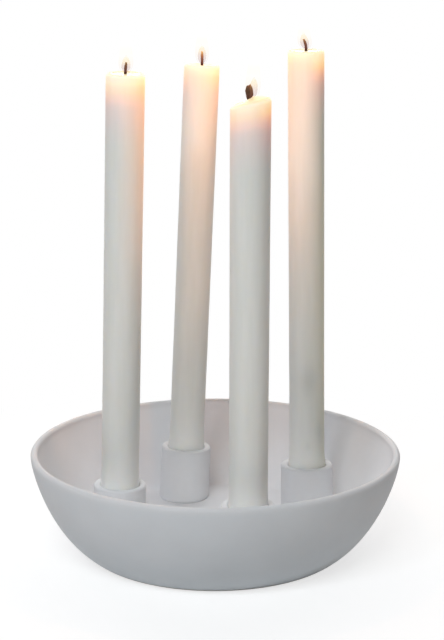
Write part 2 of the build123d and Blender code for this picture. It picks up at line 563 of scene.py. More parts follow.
def ceramic_finish():
    """White clay: fine grain, faint turning lines, painted shade outside and on lips, a bare foot ring."""
    material, tree, shader = new_finish("Matte ceramic", {"Specular IOR Level": 0.3})
    inside = use_group(tree, soft_clouds, {"Light": CLAY_LIGHT, "Dark": CLAY_DARK, "Size": CLAY_CLOUD})
    outer_shade_tones = {"Light": OUTER_SHADE_LIGHT, "Dark": OUTER_SHADE_DARK, "Size": CLAY_CLOUD}
    outside = use_group(tree, soft_clouds, outer_shade_tones)
    grain = use_group(tree, fine_grain, {"Size": CLAY_GRAIN, "Smooth": 0.72, "Rough": 0.92})
    place = add_node(tree, "TexCoord").outputs["Object"]
    height = add_node(tree, "SeparateXYZ", {0: place}).outputs["Z"]
    colour = blend(tree, stored(tree, "outside"), inside["Color"], outside["Color"])
    colour = blend(tree, remap(tree, height, BARE_EDGE, (1, 0)), colour, BARE_CLAY)
    colour = blend(tree, stored(tree, "thin"), colour, LIP_SHADE_COLOUR)
    look = {"W": height, "Scale": 1 / TURNING_STEP, "Detail": 2}
    lines = add_node(tree, "TexNoise", look, noise_dimensions="1D").outputs[0]
    relief = calculate(tree, "ADD", grain["Height"], lines)
    bump = add_node(tree, "Bump", {"Strength": 0.35, "Distance": TURNING_DEPTH, "Height": relief})
    tree.links.new(colour, shader.inputs["Base Color"])
    tree.links.new(grain["Roughness"], shader.inputs["Roughness"])
    tree.links.new(bump.outputs[0], shader.inputs["Normal"])
    return material


ceramic = ceramic_finish()
print("finish:", ceramic.name)

# %% [markdown]
# ## The bowl's section
#
# The bowl has a flat floor, a wall that flares out in one sweep, a half-round lip and a foot ring with a
# hollow inside it. Many short runs could follow the wall, but two Bezier curves do it with a handle at
# each end: one leaves the floor level, and the other reaches the lip upright.

# %% Bowl section
BOWL_LIP = 4.2 * MM
BOWL_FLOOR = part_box("cup_front_left")[0].z
BOWL_FLOOR_RADIUS = 78.5 * MM
FOOT_RECESS = 3.5 * MM
FOOT_RING = 9 * MM
FOOT_ROUNDS = [0.9 * MM, 1 * MM, 1 * MM]  # the ring's outer and inner edge, and the corner of the recess
INNER_FLOOR_SPREAD = 0.39  # how far the handles reach, as shares of the wall's flare and drop
INNER_LIP_PULL = 0.21
OUTER_LIP_PULL = 0.115
OUTER_FOOT_SPREAD = 0.71
OUTER_FOOT_RISE = 0.262
INNER_STEPS = 40
OUTER_STEPS = 56
LIP_STEPS = 12
BOWL_STEP = 3 * MM
BOWL_MIDDLE = 2 * MM  # radius of the ring round the middle

bowl_low, bowl_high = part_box("bowl")
bowl_radius = (bowl_high.x - bowl_low.x) / 2
wall_top = bowl_high.z - BOWL_LIP / 2


def bezier(first, first_handle, last_handle, last, steps):
    """Points along one Bezier curve of an outline."""
    return geometry.interpolate_bezier(*outline(first, first_handle, last_handle, last), steps)


def bowl_outline():
    """Half of the bowl's section, from the floor's middle over the lip to the underside's middle."""
    foot = BOWL_FLOOR_RADIUS
    rim = bowl_radius - BOWL_LIP
    floor_handle = (foot + INNER_FLOOR_SPREAD * (rim - foot), BOWL_FLOOR)
    lip_handle = (rim, wall_top - INNER_LIP_PULL * (wall_top - BOWL_FLOOR))
    inner = bezier((foot, BOWL_FLOOR), floor_handle, lip_handle, (rim, wall_top), INNER_STEPS)
    half = BOWL_LIP / 2
    turns = [pi * (1 - k / LIP_STEPS) for k in range(1, LIP_STEPS)]
    lip = outline(*[(bowl_radius - half + half * cos(b), wall_top + half * sin(b)) for b in turns])
    lip_handle = (bowl_radius, wall_top * (1 - OUTER_LIP_PULL))
    foot_handle = (foot + OUTER_FOOT_SPREAD * (bowl_radius - foot), wall_top * OUTER_FOOT_RISE)
    outer = bezier((bowl_radius, wall_top), lip_handle, foot_handle, (foot, 0), OUTER_STEPS)
    ring = foot - FOOT_RING
    under = outline((ring, 0), (ring, FOOT_RECESS), (BOWL_MIDDLE, FOOT_RECESS))
    underside = rounded([*outer[-2:], *under], FOOT_ROUNDS)
    return spaced(outline((BOWL_MIDDLE, BOWL_FLOOR)) + inner + lip + outer[:-2] + underside, BOWL_STEP)


print("bowl section:", len(bowl_outline()), "points")

# %% [markdown]
# ## The bowl
#
# A bowl that has dried and been fired is never quite true. Its lip is slightly oval, slightly out of
# level and a hair higher than planned. A lattice could bend the finished mesh, but a formula that grows
# with the square of the height is simpler: it moves the lip most, and leaves the floor, where the cups
# stand, flat.

# %% Bowl
BOWL_SIDES = 256
OVAL = 0.001
OVAL_BEARING = radians(150)
LIP_RISE = 0.3 * MM
LIP_TILT = 0.55 * MM
LIP_HIGH_BEARING = radians(215)
LIP_SHADE_START = 0.5  # how much painted shade there is where the lip begins, from 0 to 1
OUTER_SHADE_FADE = 3  # how soon the painted shade outside fades where the wall turns down


def as_fired(point):
    """A point of the bowl, moved as the wall moved in the kiln."""
    share = max(0, (point.z - BOWL_FLOOR) / (bowl_high.z - BOWL_FLOOR)) ** 2
    bearing = atan2(point.y, point.x)
    swell = 1 + share * OVAL * cos(2 * (bearing - OVAL_BEARING))
    lift = share * (LIP_RISE + LIP_TILT * cos(bearing - LIP_HIGH_BEARING))
    return Vector((point.x * swell, point.y * swell, point.z + lift))


def outer_shade_share(vertex):
    """Painted shade: 1 on the upright outer wall, less where it turns down, and 0 inside and on the floor.
    """
    return max(0, vertex.normal.xy.dot(vertex.co.xy.normalized())) ** OUTER_SHADE_FADE


bowl_rings = [circle(corner.x, corner.y, BOWL_SIDES) for corner in bowl_outline()]
bowl = make_piece("bowl_turned", [shell([[as_fired(p) for p in ring] for ring in bowl_rings])], [ceramic])
# painted shade on the lip, growing over its top
paint(bowl, "thin", lambda p: limited((p.z - wall_top) / BOWL_LIP + LIP_SHADE_START))
# painted shade on the outer wall, most where it stands upright
store(bowl, "outside", [outer_shade_share(v) for v in bowl.data.vertices])
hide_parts("bowl")
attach(bowl, "bowl_with_cups")

# %% [markdown]
# ## The cups' shape
#
# Each cup is a short thick tube with a rounded lip, a blind bore and a rounded foot. A cup leans, but its
# foot is level. A plain cylinder set at an angle would leave a gap on one side and sink in on the other,
# so each line of the wall is followed down from the leaning lip until it nears the floor, and is tucked
# in there.

# %% Cup shapes
CUP_SIDES = 128
CUP_BORE = 11.6 * MM
CUP_BORE_DEPTH = 25.5 * MM
CUP_BORE_ROUND = 1 * MM
CUP_MIDDLE = 1 * MM  # radius of the ring round the middle of the bore's floor
CUP_FLARE = 0.3 / 34.6  # how much wider the wall gets on the way down
CUP_LIP_ROUND = 1.6 * MM
CUP_FOOT_ROUND = 2.6 * MM
CUP_FOOT_TUCK = 1.1 * MM  # how far the rounding takes the foot in
CUP_SINK = 0.1 * MM  # how far the foot is pressed into the floor
CUP_STEP = 3 * MM
CUP_WALL_STEPS = 10
CUP_FOOT_STEPS = 8


def cup_lip(stand, mouth):
    """Rings from the middle of the bore's floor up over the lip."""
    corners = outline(
        (CUP_MIDDLE, -CUP_BORE_DEPTH),
        (CUP_BORE, -CUP_BORE_DEPTH),
        (CUP_BORE, 0),
        (mouth, 0),
        (mouth + 2 * CUP_FLARE * CUP_LIP_ROUND, -2 * CUP_LIP_ROUND),
    )
    line = rounded(corners, [CUP_BORE_ROUND, CUP_LIP_ROUND, CUP_LIP_ROUND])[:-1]
    levels = [circle(c.x, stand.mouth + c.y, CUP_SIDES) for c in spaced(line, CUP_STEP)]
    return [[stand.place @ p for p in ring] for ring in levels]


def cup_wall(stand, lip_edge):
    """Rings from the lip's outer edge down the leaning wall to the level, rounded foot."""
    turn = stand.place.to_3x3()
    middle = stand.place.translation
    lines = []
    for top, out in zip(lip_edge, circle(1, 0, CUP_SIDES)):
        down = turn @ out * CUP_FLARE - turn @ UP
        foot = top - down * ((top.z - BOWL_FLOOR) / down.z)
        level = Vector((foot.x - middle.x, foot.y - middle.y, 0)).normalized()
        start = foot + (top - foot).normalized() * CUP_FOOT_ROUND
        end = foot - level * CUP_FOOT_TUCK
        handles = start.lerp(foot, CIRCLE_HANDLE), end.lerp(foot, CIRCLE_HANDLE)
        wall = [top.lerp(start, k / CUP_WALL_STEPS) for k in range(1, CUP_WALL_STEPS)]
        joint = geometry.interpolate_bezier(start, *handles, end - UP * CUP_SINK, CUP_FOOT_STEPS)
        lines.append(wall + joint)
    return [list(ring) for ring in zip(*lines)]


print("rings in a cup's wall and foot:", CUP_WALL_STEPS - 1 + CUP_FOOT_STEPS)

# %% [markdown]
# ## The cups
#
# The cups were cast apart from the bowl and stuck to its floor with slip, which is clay thinned with
# water. Finished by hand, the four differ a little in girth. One cup could be copied four times, but the
# copies would share one girth and one lean, so each is made for its own candle.

# %% Cups
CUP_MOUTH = 15.5 * MM
CUP_GIRTH = {"front_left": 0.2, "front_right": 0.2, "back_right": 0.6, "back_left": 0.3}  # added, in mm
CUP_LIP_SHADE = 2 * MM  # height over which the cup's lip is painted darker, as painted shade

for name, stand in stands.items():
    rings = cup_lip(stand, CUP_MOUTH + CUP_GIRTH[name] * MM)
    cup = make_piece(f"cup_{name}_cast", [shell(rings + cup_wall(stand, rings[-1]))], [ceramic])
    inside = stand.place.inverted()
    # painted shade on the cup's lip
    paint(cup, "thin", lambda p: limited(((inside @ p).z - stand.mouth) / CUP_LIP_SHADE + 1))
    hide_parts(f"cup_{name}")
    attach(cup, "bowl_with_cups")

# %% [markdown]
# ## How each candle has burned
#
# The four candles were lit at different times and burned unevenly. One leaned into its flame and melted
# down on one side, and its wick, never trimmed, grew a thick crust. Four candles made one by one would
# repeat the same code, so only the few facts that differ are written down, one row a candle.

# %% Burning
class Burning(NamedTuple):
    """How one candle has burned, in millimetres and degrees. Bearings go from +X towards +Y."""

    slope: float  # of the burned top
    slope_bearing: float  # towards its high side
    wick: float  # length of wick above the wax
    bend: float  # how far the wick curls over
    bend_bearing: float
    flame: float  # height of the flame's tip above the rim
    light: float  # share of a full flame's light
    ember: float  # how much the wick's end glows
    lift: float = 0  # of the rim above the plain cut
    crown: float = 0  # height to which the top stands up in the middle
    cool: float = 0  # how much less deep the wax glows
    girth: float = 0  # of the candle, beyond its nominal radius
    stray: float = 0  # how far the flame stands off the wick's tip
    crust: bool = False


burnings = {
    "front_left": Burning(slope=4, slope_bearing=117, wick=7.3, bend=9, bend_bearing=27,
                          flame=29, light=0.45, ember=0.3, lift=0.5, girth=0.15),
    "front_right": Burning(slope=12.3, slope_bearing=27, wick=10.8, bend=6, bend_bearing=207,
                           flame=33, light=1.05, ember=0, lift=-2.3, crown=3.1, cool=2.5, girth=0.2,
                           stray=2.2, crust=True),
    "back_right": Burning(slope=4.7, slope_bearing=117, wick=7.9, bend=30, bend_bearing=207,
                          flame=23, light=1.3, ember=0.35, lift=1.1, girth=-0.15),
    "back_left": Burning(slope=1.2, slope_bearing=95, wick=9.3, bend=5, bend_bearing=207,
                         flame=31, light=1, ember=1),
}

CANDLE_EDGE = 1.6 * MM  # how far the burned rim has rounded over
MELT_DEPTH = 1.2 * MM  # of the dish, at the wick


def bearing_vector(degrees):
    """The level direction with a bearing given in degrees."""
    return Vector((cos(radians(degrees)), sin(radians(degrees))))


def rim_height(stand, burning, point):
    """Height of the burned top's plane above the candle's foot, at a point of the candle."""
    rise = tan(radians(burning.slope))
    towards_high = bearing_vector(burning.slope_bearing).dot(point.xy)
    return stand.top + burning.lift * MM + rise * (towards_high - stand.radius + CANDLE_EDGE)


for name, stand in stands.items():
    middle = rim_height(stand, burnings[name], Vector())
    print(f"{name}: the middle of the burned top is {middle / MM:.1f} mm above the candle's foot")

# %% [markdown]
# ## The glow below a flame
#
# Close to the flame the wax is full of light from above: cream at the rim, then peach, then nothing a few
# centimetres down. Scattering alone would need far more light paths to carry it that deep. The glow is a
# list of colours by depth below the rim instead, and the finish lays them along a ramp.

# %% Glow
BLACK = (0, 0, 0, 1)
GLOW_STRENGTH = 1.5  # of the brightest place, and a share of the glow is painted as a part of it
GLOW_DEPTH = 40  # below the rim, in mm
GLOW = (
    (0, (0.42, 0.33, 0.16, 1)),
    (5, (0.43, 0.26, 0.07, 1)),
    (7, (0.42, 0.20, 0.03, 1)),
    (9.3, (0.41, 0.16, 0, 1)),
    (11.6, (0.36, 0.10, 0, 1)),
    (14.5, (0.25, 0.05, 0, 1)),
    (17.4, (0.16, 0.02, 0, 1)),
    (20, (0.11, 0.01, 0, 1)),
    (25, (0.07, 0, 0, 1)),
    (30, (0.04, 0, 0, 1)),
    (GLOW_DEPTH, BLACK),
)

print("the glow reaches", GLOW_DEPTH, "mm below the rim")

# %% [markdown]
# ## Candle wax
#
# The candles are plain white wax. Light sinks in and comes out again a little further on, so the shader
# scatters it below the surface. Drawing the candles left faint streaks lengthwise, handling left a few grey
# smudges, and one side is tinted warmer. Near the cups the wax is painted whiter, as painted bounce light
# from the bowl. The burned top is tinted darker and yellower: the wax there is clear with heat, and the
# tint is also painted shade against the light from above. The melted wax in its dish is wet, so it is
# smooth there. A material for each of these would leave hard lines on the wax, so one finish blends their
# tints by painted values.

# %% Wax finish
WAX_LIGHT = (0.745, 0.74, 0.70, 1)
WAX_DARK = (0.715, 0.71, 0.665, 1)
# painted bounce light: the wax near the cups, painted whiter as if lit by the bowl
WAX_PAINTED_BOUNCE = (0.86, 0.857, 0.825, 1)
WAX_WARMER_SIDE = (0.72, 0.70, 0.56, 1)
# the burned top's tint: wax clear with heat, and painted shade against the light from above
WAX_CLEAR_AND_SHADED = (0.66, 0.58, 0.42, 1)
SMUDGE = (0.40, 0.41, 0.39, 1)
STREAK_WIDTH = 5 * MM
STREAK_STRETCH = 12
WAX_GRAIN = 1.1 * MM
WAX_RELIEF = 0.06 * MM
SCATTER_DEPTH = 5 * MM
WET_ROUGHNESS = 0.07
WAX_TINTS = {"painted_bounce": WAX_PAINTED_BOUNCE, "warmer_side": WAX_WARMER_SIDE, "smudge": SMUDGE, "clear": WAX_CLEAR_AND_SHADED}


def wax_finish():
    """Wax: streaks, smudges, painted bounce and shade, lit from within below the flame, wet where melted.
    """
    scatter = {
        "Subsurface Weight": 0.25,
        "Subsurface Scale": SCATTER_DEPTH,
        "Subsurface Radius": (1, 0.8, 0.55),
    }
    gloss = {"Specular IOR Level": 0.4, "Emission Strength": GLOW_STRENGTH}
    material, tree, shader = new_finish("Candle wax", scatter | gloss)
    streaks = {"Light": WAX_LIGHT, "Dark": WAX_DARK, "Size": STREAK_WIDTH, "Stretch": STREAK_STRETCH}
    grain = use_group(tree, fine_grain, {"Size": WAX_GRAIN, "Smooth": 0.38, "Rough": 0.55})
    colour = use_group(tree, soft_clouds, streaks)["Color"]
    for name, tint in WAX_TINTS.items():
        colour = blend(tree, stored(tree, name), colour, tint)
    dry = calculate(tree, "SUBTRACT", 1, stored(tree, "melted"))
    rough = calculate(tree, "ADD", calculate(tree, "MULTIPLY", grain["Roughness"], dry), WET_ROUGHNESS)
    relief = calculate(tree, "MULTIPLY", grain["Height"], dry)
    bump = add_node(tree, "Bump", {"Strength": 0.2, "Distance": WAX_RELIEF, "Height": relief})
    depth = calculate(tree, "DIVIDE", stored(tree, "depth"), GLOW_DEPTH * MM)
    glow = add_ramp(tree, depth, [(level / GLOW_DEPTH, tint) for level, tint in GLOW])
    glow = blend(tree, stored(tree, "glow_share"), BLACK, glow["Color"])
    tree.links.new(colour, shader.inputs["Base Color"])
    tree.links.new(rough, shader.inputs["Roughness"])
    tree.links.new(glow, shader.inputs["Emission Color"])
    tree.links.new(bump.outputs[0], shader.inputs["Normal"])
    return material


wax = wax_finish()
print("finish:", wax.name)

# %% [markdown]
# ## Marks on the wax
#
# Wax is soft and takes marks: the tallest candle was touched with sooty fingers, has a small pit near its
# cup and is tinted warmer down one side. Such marks could be drawn by hand in Blender's paint mode. Here
# each is a soft spot with a place and a size, so the same few numbers tint the wax and press the dent.

# %% Marks
TO_CAMERA = CAMERA_BEARING - pi / 2  # bearing of the side that the camera sees


class Mark(NamedTuple):
    """A mark on a candle's side, at a height above the cup's mouth."""

    height: float
    bearing: float
    tall: float
    wide: float
    smudge: float = 0
    dent: float = 0
    warmer_side: float = 0


marks = {
    "back_right": [
        Mark(55 * MM, TO_CAMERA + 0.05, tall=9 * MM, wide=5 * MM, smudge=0.34),
        Mark(15 * MM, TO_CAMERA, tall=1.6 * MM, wide=1.6 * MM, smudge=0.22, dent=0.35 * MM),
        Mark(24 * MM, TO_CAMERA + 0.75, tall=6 * MM, wide=3 * MM, smudge=0.18),
        # a warmer tint down one side of the candle
        Mark(120 * MM, TO_CAMERA + 1.3, tall=150 * MM, wide=9 * MM, warmer_side=1),
    ],
}


def mark_strength(mark, stand, point):
    """How much of a mark there is at a point of a candle, from 0 to 1."""
    round_way = (atan2(point.y, point.x) - mark.bearing + pi) % (2 * pi) - pi
    across = round_way * stand.radius / mark.wide
    upwards = (point.z - stand.mouth - mark.height) / mark.tall
    return exp(-(across**2) - upwards**2)


def marked(name, stand, point, kind):
    """How much of one kind of mark there is in all at a point of a candle."""
    return sum(getattr(mark, kind) * mark_strength(mark, stand, point) for mark in marks.get(name, ()))


print("marks:", {name: len(spots) for name, spots in marks.items()})

# %% [markdown]
# ## Uneven wax
#
# Wax is worked warm, so no side is perfectly straight and no rim quite level. The foot, pressed warm into
# its cup, has swelled to fill the bore. A Displace modifier could make the side uneven, but it would move
# the wick hole as well. Here slow noise moves only the outer skin, and the rim most.

# %% Uneven wax
SIDE_DRIFT = 0.10 * MM
RIM_DRIFT = 0.25 * MM
RIM_REACH = 16 * MM  # stretch below the top over which the rim's unevenness fades out
RIM_FINENESS = 2  # how much finer it is than the side's
DRIFT_WIDTH = 8 * MM
DRIFT_HEIGHT = 30 * MM
DRIFT_SHIFT = 7  # keeps one candle's drift unlike the next one's
DRIFT_SKIN = 4.4 * MM  # how far in from the side the unevenness reaches
FOOT_SWELL = 5 * MM  # stretch above the cup over which the foot narrows


def drift(name, point):
    """A slow, smooth unevenness, different on each candle, from about -1 to 1."""
    shift = DRIFT_SHIFT * list(stands).index(name)
    x, y = point.x / DRIFT_WIDTH, point.y / DRIFT_WIDTH
    return noise.noise(Vector((x, y, point.z / DRIFT_HEIGHT + shift)))


def as_drawn(name, stand, point):
    """A point of a candle, moved by the unevenness of its side and rim and by any dent."""
    if point.xy.length < stand.radius - DRIFT_SKIN:
        return point
    dent = marked(name, stand, point, "dent")
    side = 1 + (SIDE_DRIFT * drift(name, point) - dent) / stand.radius
    near_top = max(0, 1 - (stand.top - point.z) / RIM_REACH)
    lift = near_top * RIM_DRIFT * drift(name, point * RIM_FINENESS)
    return Vector((point.x * side, point.y * side, point.z + lift))


def as_pressed(stand, point, swell):
    """A point of a candle, moved out where the warm foot was pressed into its cup."""
    if point.xy.length < stand.radius / 2:
        return point
    above = max(0, point.z - stand.mouth) / FOOT_SWELL
    share = 1 + (swell - 1) * exp(-(above**2))
    return Vector((point.x * share, point.y * share, point.z))


print("unevenness of the side and the rim in mm:", SIDE_DRIFT / MM, RIM_DRIFT / MM)

# %% [markdown]
# ## The candles' shape
#
# A candle is a stick with a bevelled foot, a hole for its wick, and a top that the flame has shaped: a
# rim that has rounded over, a shallow dish, and melted wax that creeps up the wick. The slanted top
# stands up in a crown instead. A Boolean cut would give the dish, but it would leave a ragged mesh, so
# the rings simply run up the side, over the rim, down into the dish and back through the hole.

# %% Candle shapes
CANDLE_SIDES = 96
CANDLE_BEVEL = 1 * MM
WICK_HOLE = 1.05 * MM
SHOULDER = 4 * MM  # stretch below the rim that follows its slope
DISH_RIM = 2.2 * MM  # wax left standing round the dish
DISH_WALL = 1.5 * MM  # how wide the dish's slope is
POOL_DEPTH = 0.75 * MM  # of the melted wax below the rim
POOL_CREEP = 0.35 * MM  # how far it creeps up the wick
CREEP_WIDTH = 0.8 * MM
TOP_ROUNDS = [CANDLE_EDGE, 0.5 * MM, 0.7 * MM, 0.4 * MM]  # rim, dish's edge, its foot and the creeping wax
CROWN_LEAN = 0.8
FOOT_FIT = 0.15 * MM  # left round the foot in its cup
FOOT_STEP = 4 * MM
SIDE_RINGS = 72
TOP_STEP = 1 * MM


def top_height(stand, burning, point):
    """Height of the burned top at a point. A crown, where there is one, leans to the top's high side."""
    out = min(1, point.xy.length / stand.radius)
    lean = 1 + CROWN_LEAN * bearing_vector(burning.slope_bearing).dot(point.xy) / stand.radius
    return rim_height(stand, burning, point) + burning.crown * MM * (1 - out**2) * lean


def candle_rings(name, stand, burning):
    """One candle as rings: foot, side, rim, dish and wick hole."""
    radius = stand.radius + burning.girth * MM
    foot = outline((WICK_HOLE, 0), (radius - CANDLE_BEVEL, 0), (radius, CANDLE_BEVEL))
    rings = [circle(c.x, c.y, CANDLE_SIDES) for c in spaced(foot, FOOT_STEP)]
    start = rings[-1]
    shoulder = [Vector((*p.xy, rim_height(stand, burning, p) - SHOULDER)) for p in start]
    for k in range(1, SIDE_RINGS + 1):
        rings.append([a.lerp(b, k / SIDE_RINGS) for a, b in zip(start, shoulder)])
    dish = radius - DISH_RIM
    top = outline(
        (radius, -SHOULDER),
        (radius, 0),
        (dish, 0),
        (dish - DISH_WALL, -POOL_DEPTH),
        (WICK_HOLE + CREEP_WIDTH, -POOL_DEPTH),
        (WICK_HOLE, POOL_CREEP - POOL_DEPTH),
    )
    for corner in spaced(rounded(top, TOP_ROUNDS), TOP_STEP)[1:]:
        ring = circle(corner.x, corner.y, CANDLE_SIDES)
        rings.append([Vector((*p.xy, p.z + top_height(stand, burning, p))) for p in ring])
    swell = (CUP_BORE - FOOT_FIT) / radius
    return [[as_pressed(stand, as_drawn(name, stand, p), swell) for p in ring] for ring in rings]


print("rings up the side of a candle:", SIDE_RINGS)

# %% [markdown]
# ## Painting the heat
#
# How hot and bright the wax is depends on where a point is: how deep below the rim, whether on the burned
# top, and on which side of the candle. The side that faces the other flames is lit by them already, so it
# glows less by itself, and where light shines through the wax's edge it glows more. A shader could work
# this out again for every ray. Painting the values once on the points is quicker, and they stay with the
# candle when it is lifted.

# %% Heat
GLOW_FACING = 0.35  # share of the glow on the side that faces the other flames
GLOW_TURN = 0.7  # how far round the full glow reaches
GLOW_RIM = 9 * MM  # stretch below the rim over which the facing side dims
EDGE_BEARING = 20  # where the light of the flames shines through most
EDGE_GLOW = 0.8  # how much it adds there
EDGE_START = 0.3
WET_LOSS = 0.3  # share of the glow that the melted wax lacks
TOP_TINT_MARGIN = 0.2 * MM  # inside the rim, from where the burned top is tinted: clear with heat, and painted shade
TOP_REACH = 3 * MM  # how deep the burned top may dip
TOP_FADE = 1 * MM


def eased(value):
    """A value from 0 to 1, with a soft start and a soft end."""
    return value * value * (3 - 2 * value)


def below_rim(stand, burning, point):
    """How deep a point is below the burned rim, for its glow."""
    return max(0, rim_height(stand, burning, point) - point.z + burning.cool * MM)


def burned_top(stand, burning, point, margin):
    """1 on the burned top, further inside its edge than a margin, and 0 outside it."""
    if point.z <= rim_height(stand, burning, point) - TOP_REACH:
        return 0
    return limited((stand.radius - margin - point.xy.length) / TOP_FADE)


def melted(stand, burning, point):
    """1 in the melted wax and 0 outside it. A crowned top sheds its melted wax, so it is dry."""
    return 0 if burning.crown else burned_top(stand, burning, point, DISH_RIM)


def glow_share(stand, burning, point):
    """How much a point glows: all of it on the outside, less towards the other flames, more at the edge."""
    way = point.xy.normalized()
    turn = limited(stand.place.translation.xy.normalized().dot(way) + GLOW_TURN)
    facing = max(GLOW_FACING, 1 - below_rim(stand, burning, point) / GLOW_RIM)
    side = facing + (1 - facing) * eased(turn)
    edge = EDGE_GLOW * max(0, bearing_vector(EDGE_BEARING).dot(way) - EDGE_START)
    return (side + edge) * (1 - WET_LOSS * melted(stand, burning, point)) / GLOW_STRENGTH


print("share of the glow towards the other flames:", GLOW_FACING)

# %% [markdown]
# ## The candles
#
# With shape, marks and heat settled, the four candles come from one loop. Each is made in its own upright
# frame and then set at its leaning place, so that every height in it is measured along its own axis.

# %% Candles
BOUNCE_REACH = 60 * MM  # height above the cup up to which the wax is painted whiter, as painted bounce light
BOUNCE_FADE = 1.5

for name, stand in stands.items():
    row = burnings[name]
    rings = candle_rings(name, stand, row)
    candle = make_piece(f"candle_{name}_wax", [shell(rings, loop=True)], [wax], stand.place)
    paint(candle, "depth", lambda p: below_rim(stand, row, p))
    paint(candle, "glow_share", lambda p: glow_share(stand, row, p))
    # the burned top's tint, partly wax clear with heat and partly painted shade
    paint(candle, "clear", lambda p: burned_top(stand, row, p, TOP_TINT_MARGIN))
    paint(candle, "melted", lambda p: melted(stand, row, p))
    # painted bounce light: whiter wax near the cup, fading upwards
    paint(candle, "painted_bounce", lambda p: limited(1 - (p.z - stand.mouth) / BOUNCE_REACH) ** BOUNCE_FADE)
    paint(candle, "smudge", lambda p: marked(name, stand, p, "smudge"))
    paint(candle, "warmer_side", lambda p: marked(name, stand, p, "warmer_side"))
    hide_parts(f"candle_{name}")
    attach(candle, f"candle_{name}")

# %% [markdown]
# ## Charred cotton
#
# Inside the wax a wick is pale, plain cotton. Above, it is charred dark brown, and its tip glows where it
# still burns. A second material for the burned end would begin at a hard line, so the char and the ember
# are painted on the points and fade in.

# %% Wick finish
COTTON = (0.62, 0.58, 0.48, 1)
CHAR_LIGHT = (0.075, 0.028, 0.022, 1)
CHAR_DARK = (0.034, 0.013, 0.011, 1)
CHAR_CLOUD = 1.2 * MM
CHAR_GRAIN = 0.25 * MM
CHAR_RELIEF = 0.1 * MM
EMBER = (
    (0.2, BLACK),
    (0.55, (0.12, 0.03, 0.008, 1)),
    (0.8, (0.45, 0.17, 0.05, 1)),
    (1, (0.80, 0.42, 0.15, 1)),
)


def wick_finish():
    """Pale cotton in the wax, char above it and an ember at the tip."""
    constants = {"Specular IOR Level": 0.2, "Emission Strength": 1}
    material, tree, shader = new_finish("Charred cotton", constants)
    char = use_group(tree, soft_clouds, {"Light": CHAR_LIGHT, "Dark": CHAR_DARK, "Size": CHAR_CLOUD})
    grain = use_group(tree, fine_grain, {"Size": CHAR_GRAIN, "Smooth": 0.75, "Rough": 0.95})
    bump = add_node(tree, "Bump", {"Strength": 0.6, "Distance": CHAR_RELIEF, "Height": grain["Height"]})
    colour = blend(tree, stored(tree, "charred"), COTTON, char["Color"])
    ember = add_ramp(tree, stored(tree, "ember"), EMBER)
    tree.links.new(colour, shader.inputs["Base Color"])
    tree.links.new(grain["Roughness"], shader.inputs["Roughness"])
    tree.links.new(ember["Color"], shader.inputs["Emission Color"])
    tree.links.new(bump.outputs[0], shader.inputs["Normal"])
    return material


charred_cotton = wick_finish()
print("finish:", charred_cotton.name)

# %% [markdown]
# ## The wick's line
#
# A wick stands upright for a short way and then leans over, so that its tip leaves the flame and burns
# off. A curve object could carry it, but the braid, the crust and the flame all need points and
# directions on the same line, and a small function gives them at any length.

# %% Wick line
WICK_STUB = 2 * MM  # upright stretch above the dish


def wick_base(stand, burning):
    """Height above the candle's foot at which the wick leaves the dish."""
    return rim_height(stand, burning, Vector()) - MELT_DEPTH


def wick_frame(stand, burning, length):
    """A point of the wick at a length above the dish, and the directions across it and over its bend."""
    over = bearing_vector(burning.bend_bearing).to_3d()
    across = UP.cross(over)
    reach = (burning.wick * MM - WICK_STUB) / radians(burning.bend)
    angle = max(0, length - WICK_STUB) / reach
    height = wick_base(stand, burning) + min(length, WICK_STUB) + reach * sin(angle)
    point = UP * height + over * reach * (1 - cos(angle))
    return point, across, over * cos(angle) - UP * sin(angle)


for name, stand in stands.items():
    tip = wick_frame(stand, burnings[name], burnings[name].wick * MM)[0]
    print(f"{name}: the wick's tip is {tip.z / MM:.1f} mm above the candle's foot")

# %% [markdown]
# ## The braid
#
# A wick is a cord braided from three strands, so that it curls over as it burns and trims itself. A
# twisted tube would pass for a rope, but a braid is flat: three tubes change places, and each swings from
# side to side, and twice as often from front to back, a third of a turn after the one before it.

# %% Braid
BRAID_STRANDS = 3
BRAID_DEPTH = 4 * MM  # how far down into the wax the braid is modelled
BRAID_PITCH = 4.2 * MM
BRAID_SWING = 0.46 * MM
BRAID_SWAP = 0.34 * MM
BRAID_STEP = 0.25 * MM
STRAND = 0.58 * MM
STRAND_SIDES = 10
STRAND_WEAR = 0.2  # how uneven the fire has left it
STRAND_SHIFT = 5  # keeps one strand's wear unlike the next one's
TIP_TAPER = 3.5 * MM
TIP_LEFT = 0.4  # share of the strand's girth that is left at its tip


def strand_rings(stand, burning, number):
    """One of the braid's strands, thinning to its tip."""
    stand_out = burning.wick * MM
    steps = ceil((BRAID_DEPTH + stand_out) / BRAID_STEP)
    rings = []
    for k in range(steps + 1):
        length = stand_out * k / steps - BRAID_DEPTH * (1 - k / steps)
        point, across, over = wick_frame(stand, burning, length)
        phase = 2 * pi * (length / BRAID_PITCH + number / BRAID_STRANDS)
        middle = point + across * BRAID_SWING * cos(phase) + over * BRAID_SWAP * sin(2 * phase)
        worn = 1 + STRAND_WEAR * noise.noise(Vector((number * STRAND_SHIFT, 0, length / MM)))
        radius = STRAND * worn * min(1, TIP_LEFT + (stand_out - length) / TIP_TAPER)
        bearings = [2 * pi * side / STRAND_SIDES for side in range(STRAND_SIDES)]
        rings.append([middle + (across * cos(b) + over * sin(b)) * radius for b in bearings])
    return rings


print("braid:", BRAID_STRANDS, "strands,", round(BRAID_PITCH / MM, 1), "mm to a turn")

# %% [markdown]
# ## The crust
#
# On the wick that was never trimmed sits a lump of carbon, narrow below, broad and broken above. It could
# be sculpted by hand. Rings round the wick's own line make it here, with a girth that opens, widens and
# closes, and with coarse and fine noise for the broken surface.

